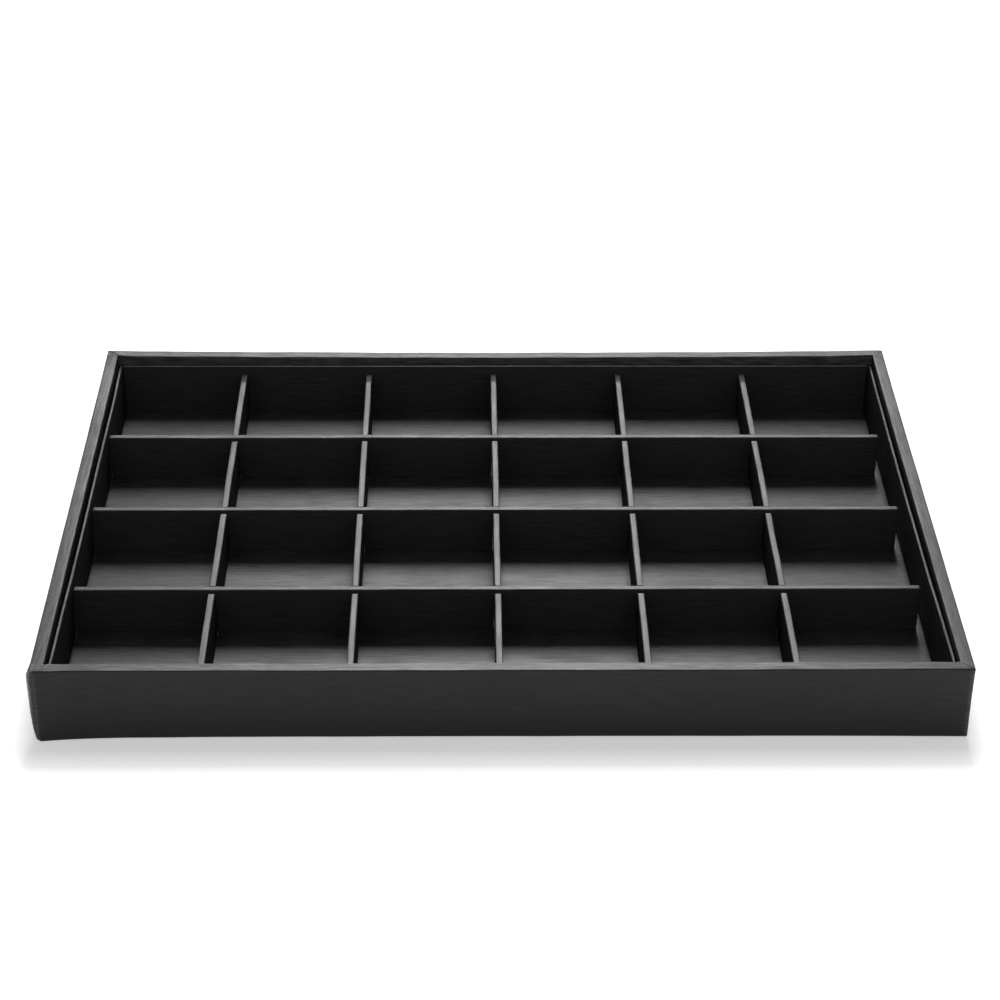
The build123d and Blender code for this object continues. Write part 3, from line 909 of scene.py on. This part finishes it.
def divider(kind, which, body, crosses, crossings, leads, seed):
    """A divider's skin with its halving slots: the sheet of a strip, without the cells that
    lie in a slot. The cells' borders at a slot's mouth are moved apart for its leads. One that
    crosses runs along Y and has its slots at the top, and its card is made as well, because it's
    cut back as the skin is."""
    lead = max(leads)
    low, high = (np.array(c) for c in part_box(f"{kind}_cover_{which}"))
    size = high - low
    length, thickness = (size[1], size[0]) if crosses else (size[0], size[1])
    skin = high[2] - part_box(f"{kind}_card_{which}")[1][2]
    edges = np.concatenate([crossings - SLOT_WIDTH / 2, crossings + SLOT_WIDTH / 2])
    even = strip_places(length)
    even = even[np.abs(even[:, None] - edges[None]).min(1) > lead + SLOT_MARGIN]
    places = np.sort(np.concatenate([even, edges]))
    stop = size[2] - SLOT_DEPTH if crosses else SLOT_DEPTH
    below_fold = size[2] - max(lead, DIVIDER_FOLD + 0.05 * mm) - 0.02 * mm
    levels = np.array([0, lead, 3 * mm, 6 * mm, stop, 12 * mm, 15 * mm, below_fold])
    levels = np.unique(np.round(levels, 7))
    levels = levels[levels < size[2] - DIVIDER_FOLD - 0.01 * mm]
    grids = []
    for inset in (0, skin):
        grid = strip_sheet(length, size[2], thickness, DIVIDER_FOLD, DIVIDER_CORNER, inset, places, levels)
        at_edge = np.abs(grid[:, :1, 0] - edges[None]) < 0.01 * mm
        first_side, second_side = at_edge[:, : len(crossings)].any(1), at_edge[:, len(crossings) :].any(1)
        from_mouth = size[2] - inset - grid[..., 2] if crosses else grid[..., 2]
        for way, side_lead, at_side in zip((-1, 1), leads, (first_side, second_side)):
            grid[..., 0] += way * side_lead * np.clip(1 - from_mouth / side_lead, 0, 1) * at_side[:, None]
        grid[..., 1] += strip_waves(grid, length, DIVIDER_BOWS, seed)
        crest = strip_waves(grid, length, DIVIDER_CRESTS, seed + 40)
        grid[..., 2] += (crest - DIVIDER_SINK) * share_past(grid[..., 2] / size[2], 0.6, 1)
        grids.append(grid)
    outside, inside = grids
    along, across, wear_and_sheen = strip_marks(outside, levels)
    centres_along = (outside[1:, 0, 0] + outside[:-1, 0, 0]) / 2
    in_slot = (np.abs(centres_along[:, None] - crossings[None]) < SLOT_WIDTH / 2 - 0.1 * mm).any(1)
    middle_up = (outside[len(outside) // 2, 1:, 2] + outside[len(outside) // 2, :-1, 2]) / 2
    cut = middle_up > stop if crosses else middle_up < stop
    kept = ~(in_slot[:, None] & cut[None])

    def placed(grid):
        """A grid of the divider, stood in the tray."""
        return stand(grid, (low + high) / 2, low[2], crosses)

    piece = sheet_mesh(
        f"{kind}_skin_{which}", placed(outside), placed(inside),
        along + seed * STREAK_SHIFT, across, wear_and_sheen, kept=kept, capped=True,
    )
    piece.data.materials.append(divider_leatherette)
    # Standing faces: the copy painted darker as shade on the cross dividers, the one painted lighter on the
    # long ones
    faces_from = high[2] - DIVIDER_FOLD - FACE_DROP
    use_below(piece, faces_from, divider_side_faces_painted_shade if crosses else divider_long_faces_painted_light)
    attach(piece, body)
    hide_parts(f"{kind}_cover_{which}")

    # The card fills the skin: each side reaches from the skin to the strip's middle
    if crosses:
        core = sheet_mesh(
            f"{kind}_core_{which}", placed(inside), placed(inside * CORE_CLOSED),
            along, across, np.zeros((1, 1)), kept=kept, capped=True,
        )
        core.data.materials.append(black_card)
        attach(core, body)
        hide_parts(f"{kind}_card_{which}")


divider_leatherette, divider_long_faces_painted_light, divider_side_faces_painted_shade = liner_finishes("divider")
long_rows = {name: centre_of(f"long_divider_cover_{name}") for name in LONG_NAMES}
cross_columns = {name: centre_of(f"cross_divider_cover_{name}") for name in CROSS_NAMES}
for order, row_name in enumerate(LONG_NAMES):
    crossings = np.array([cross_columns[name][0] for name in CROSS_NAMES]) - long_rows[row_name][0]
    body = f"long_divider_{row_name}"
    divider("long_divider", row_name, body, False, crossings, LONG_SLOT_LEADS, LONG_SEED + order)
    finish_node(f"long_divider_card_{row_name}", black_card)
for order in CROSS_NAMES:
    crossings = np.array([long_rows[name][1] for name in LONG_NAMES]) - cross_columns[order][1]
    divider("cross_divider", order, "cross_dividers", True, crossings, CROSS_SLOT_LEADS, CROSS_SEED + order)

# Studio.
# A white floor runs out of view. Behind the tray stand a near, high soft lamp and a farther, lower
# one, whose reflections light everything that faces up, and a weak one fills in from the front.

FLOOR_WHITE = 0.80
FLOOR_SEEN = 1.0
FLOOR_HALF = 9
FLOOR_GLOW = 0.4
# In front of the tray the shadow fades away between these places along Y, and the floor glows more
SHADOW_FADE = (-0.1405, -0.1275)
FRONT_GLOW = 0.65
# Far from the tray the floor glows more, from the first of these distances to the second
FLOOR_FADE = (0.3, 1.2)
FAR_GLOW = 1
BACKDROP_TOP = (0.2, 0.35)
WORLD_LIGHT = 0.24


def seen_directly(paint):
    """1 for rays from the camera, from gloss and through glass, and 0 for the others."""
    path = paint.node_tree.nodes.new("ShaderNodeLightPath").outputs
    bounced = combine(paint, "MAXIMUM", path["Is Glossy Ray"], path["Is Transmission Ray"])
    return combine(paint, "MAXIMUM", path["Is Camera Ray"], bounced)


def diffuse(paint, white):
    """A plain diffuse shader in a grey."""
    node = paint.node_tree.nodes.new("ShaderNodeBsdfDiffuse")
    node.inputs["Color"].default_value = (white, white, white, 1)
    return node.outputs["BSDF"]


def mix_shaders(paint, share, first, second):
    """The first shader where the share is 0, and the second one where it is 1."""
    node = paint.node_tree.nodes.new("ShaderNodeMixShader")
    for socket, value in zip(node.inputs, (share, first, second)):
        paint.node_tree.links.new(value, socket)
    return node.outputs["Shader"]


floor_mesh = bpy.data.meshes.new("studio_floor")
floor_corners = [(x * FLOOR_HALF, y * FLOOR_HALF, 0) for x, y in ((-1, -1), (1, -1), (1, 1), (-1, 1))]
floor_mesh.from_pydata(floor_corners, [], [(0, 1, 2, 3)])
studio_floor = bpy.data.objects.new("studio_floor", floor_mesh)
bpy.context.scene.collection.objects.link(studio_floor)

floor_paint = bpy.data.materials.new("studio_floor")
floor_paint.use_nodes = True
tree = floor_paint.node_tree
tree.nodes.clear()
forward = tree.nodes.new("ShaderNodeSeparateXYZ")
tree.links.new(from_object(floor_paint), forward.inputs["Vector"])
faded = fit_range(floor_paint, forward.outputs["Y"], *SHADOW_FADE, FRONT_GLOW, FLOOR_GLOW)
from_middle = tree.nodes.new("ShaderNodeVectorMath")
from_middle.operation = "LENGTH"
tree.links.new(from_object(floor_paint), from_middle.inputs[0])
far = fit_range(floor_paint, from_middle.outputs["Value"], *FLOOR_FADE, 0, FAR_GLOW)
glow = tree.nodes.new("ShaderNodeEmission")
tree.links.new(combine(floor_paint, "ADD", faded, far), glow.inputs["Strength"])
seen = tree.nodes.new("ShaderNodeAddShader")
tree.links.new(diffuse(floor_paint, FLOOR_SEEN), seen.inputs[0])
tree.links.new(glow.outputs["Emission"], seen.inputs[1])
upper_side = mix_shaders(
    floor_paint, seen_directly(floor_paint), diffuse(floor_paint, FLOOR_WHITE), seen.outputs["Shader"]
)
# From below the floor is clear, so that the tray's underside can be seen
clear = tree.nodes.new("ShaderNodeBsdfTransparent").outputs["BSDF"]
from_below = tree.nodes.new("ShaderNodeNewGeometry").outputs["Backfacing"]
output = tree.nodes.new("ShaderNodeOutputMaterial")
tree.links.new(mix_shaders(floor_paint, from_below, upper_side, clear), output.inputs["Surface"])
floor_mesh.materials.append(floor_paint)

# The world is white to the camera. Gloss sees it white up to the backdrop's top, and grey above
world = bpy.data.worlds.new("studio")
world.use_nodes = True
bpy.context.scene.world = world
tree = world.node_tree
background = tree.nodes["Background"]
background.inputs["Color"].default_value = (1, 1, 1, 1)
parts = tree.nodes.new("ShaderNodeSeparateXYZ")
tree.links.new(tree.nodes.new("ShaderNodeTexCoord").outputs["Generated"], parts.inputs["Vector"])
backdrop = fit_range(world, parts.outputs["Z"], *BACKDROP_TOP, 1, 0)
mirrored = combine(world, "MULTIPLY", seen_directly(world), backdrop)
by_camera = tree.nodes.new("ShaderNodeLightPath").outputs["Is Camera Ray"]
shown = combine(world, "MAXIMUM", mirrored, by_camera)
tree.links.new(fit_range(world, shown, 0, 1, WORLD_LIGHT, 1), background.inputs["Strength"])


def soft_lamp(name, place, target, size, watts):
    """A rectangular lamp at a place in metres, turned to its target."""
    lamp = bpy.data.lights.new(name, "AREA")
    lamp.shape = "RECTANGLE"
    lamp.size, lamp.size_y = size
    lamp.energy = watts
    holder = bpy.data.objects.new(name, lamp)
    bpy.context.scene.collection.objects.link(holder)
    holder.location = place
    aim = Vector(np.array(target, float) - np.array(place, float))
    holder.rotation_euler = aim.to_track_quat("-Z", "Y").to_euler()


soft_lamp("high_lamp", (0.03, 0.772, 1.113), (0, 0.1, 0), size=(0.4, 0.52), watts=12.2)
soft_lamp("low_lamp", (0.04, 1.87, 1.14), (0, 0.1, 0), size=(1.15, 0.25), watts=15.3)
soft_lamp("front_fill", (0, -2.2, 1.3), (0, 0, 0), size=(2.0, 0.8), watts=3)

# Camera.
# It stands in front of the tray a little to the left, looks down by a third of a right angle
# and turns by a fraction of a degree, as the photograph's edges say.

CAMERA_PLACE = (-0.014014, -0.832286, 0.565327)
CAMERA_PITCH, CAMERA_YAW, CAMERA_ROLL = math.radians(32.821), math.radians(0.988), math.radians(0.4564)

lens = bpy.data.cameras.new("camera")
lens.sensor_width = 36
lens.lens = 86.722
lens.clip_end = 50
camera = bpy.data.objects.new("camera", lens)
bpy.context.scene.collection.objects.link(camera)
camera.location = CAMERA_PLACE
camera.rotation_mode = "XYZ"
aim = Matrix.Rotation(-CAMERA_YAW, 3, "Z") @ Matrix.Rotation(math.pi / 2 - CAMERA_PITCH, 3, "X")
camera.rotation_euler = (aim @ Matrix.Rotation(CAMERA_ROLL, 3, "Z")).to_euler("XYZ")
bpy.context.scene.camera = camera
bpy.context.scene.view_settings.view_transform = "Standard"
